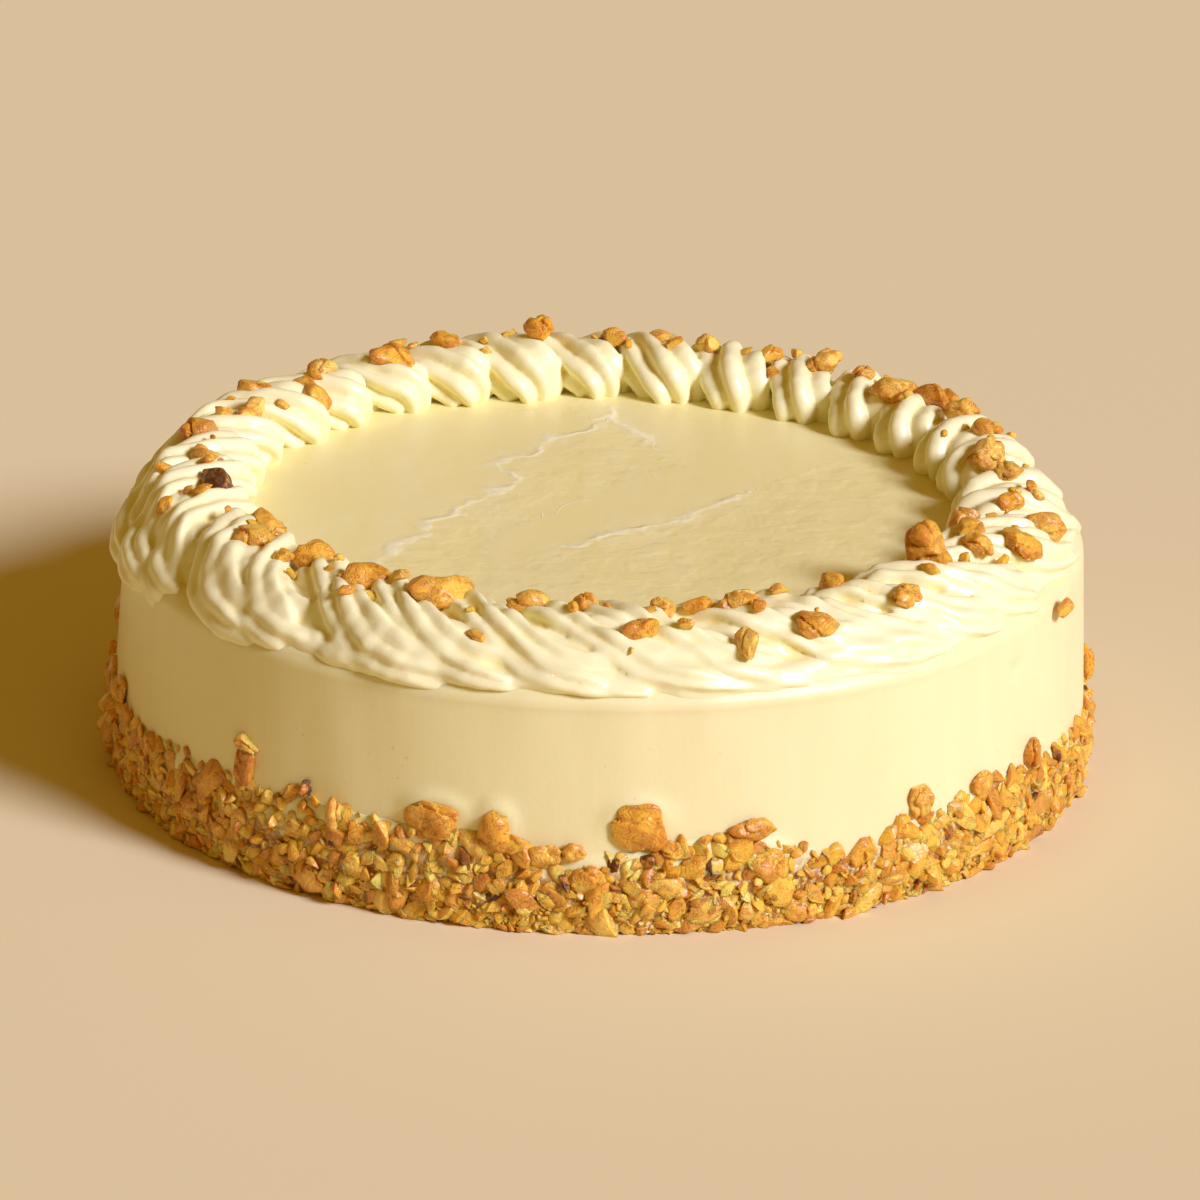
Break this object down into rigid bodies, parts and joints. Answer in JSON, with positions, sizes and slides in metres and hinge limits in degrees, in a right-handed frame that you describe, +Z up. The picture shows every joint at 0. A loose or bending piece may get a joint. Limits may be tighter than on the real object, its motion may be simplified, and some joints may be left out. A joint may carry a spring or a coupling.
{
  "type": "carrot cake",
  "caption": "Round frosted cake with a flat top, a piped rope of cream round the rim set with walnut pieces, and chopped walnuts round the foot of its side.",
  "frame": {"origin": "centre of the cake's round base, on the surface that it stands on", "axes": "+Z up, square to the flat base, along the cake's axis; -Y faces the viewer of the picture and +X is to the viewer's right"},
  "size_m": [0.2533, 0.2524, 0.0833],
  "materials": {
    "smooth_frosting": "satin",
    "piped_cream": "satin",
    "chopped_walnut": "matte",
    "walnut_piece": "satin"
  },
  "bodies": {
    "root": {"frosted_cake": "smooth_frosting", "piped_rope": "piped_cream", "walnut_band": "chopped_walnut", "walnut_01": "walnut_piece", "walnut_02": "walnut_piece", "walnut_03": "walnut_piece", "walnut_04": "walnut_piece", "walnut_05": "walnut_piece", "walnut_06": "walnut_piece", "walnut_07": "walnut_piece", "walnut_08": "walnut_piece", "walnut_09": "walnut_piece", "walnut_10": "walnut_piece", "walnut_11": "walnut_piece", "walnut_12": "walnut_piece", "walnut_13": "walnut_piece", "walnut_14": "walnut_piece", "walnut_15": "walnut_piece", "walnut_16": "walnut_piece", "walnut_17": "walnut_piece", "walnut_18": "walnut_piece", "walnut_19": "walnut_piece", "walnut_20": "walnut_piece", "walnut_21": "walnut_piece", "walnut_22": "walnut_piece", "walnut_23": "walnut_piece", "walnut_24": "walnut_piece", "walnut_25": "walnut_piece", "walnut_26": "walnut_piece", "walnut_27": "walnut_piece", "walnut_28": "walnut_piece", "walnut_29": "walnut_piece", "walnut_30": "walnut_piece", "walnut_31": "walnut_piece", "walnut_32": "walnut_piece", "walnut_33": "walnut_piece", "walnut_34": "walnut_piece", "walnut_35": "walnut_piece", "walnut_36": "walnut_piece", "walnut_37": "walnut_piece", "walnut_38": "walnut_piece", "walnut_39": "walnut_piece", "walnut_40": "walnut_piece", "walnut_41": "walnut_piece", "walnut_42": "walnut_piece", "walnut_43": "walnut_piece", "walnut_44": "walnut_piece", "walnut_on_side": "walnut_piece"}
  },
  "joints": []
}
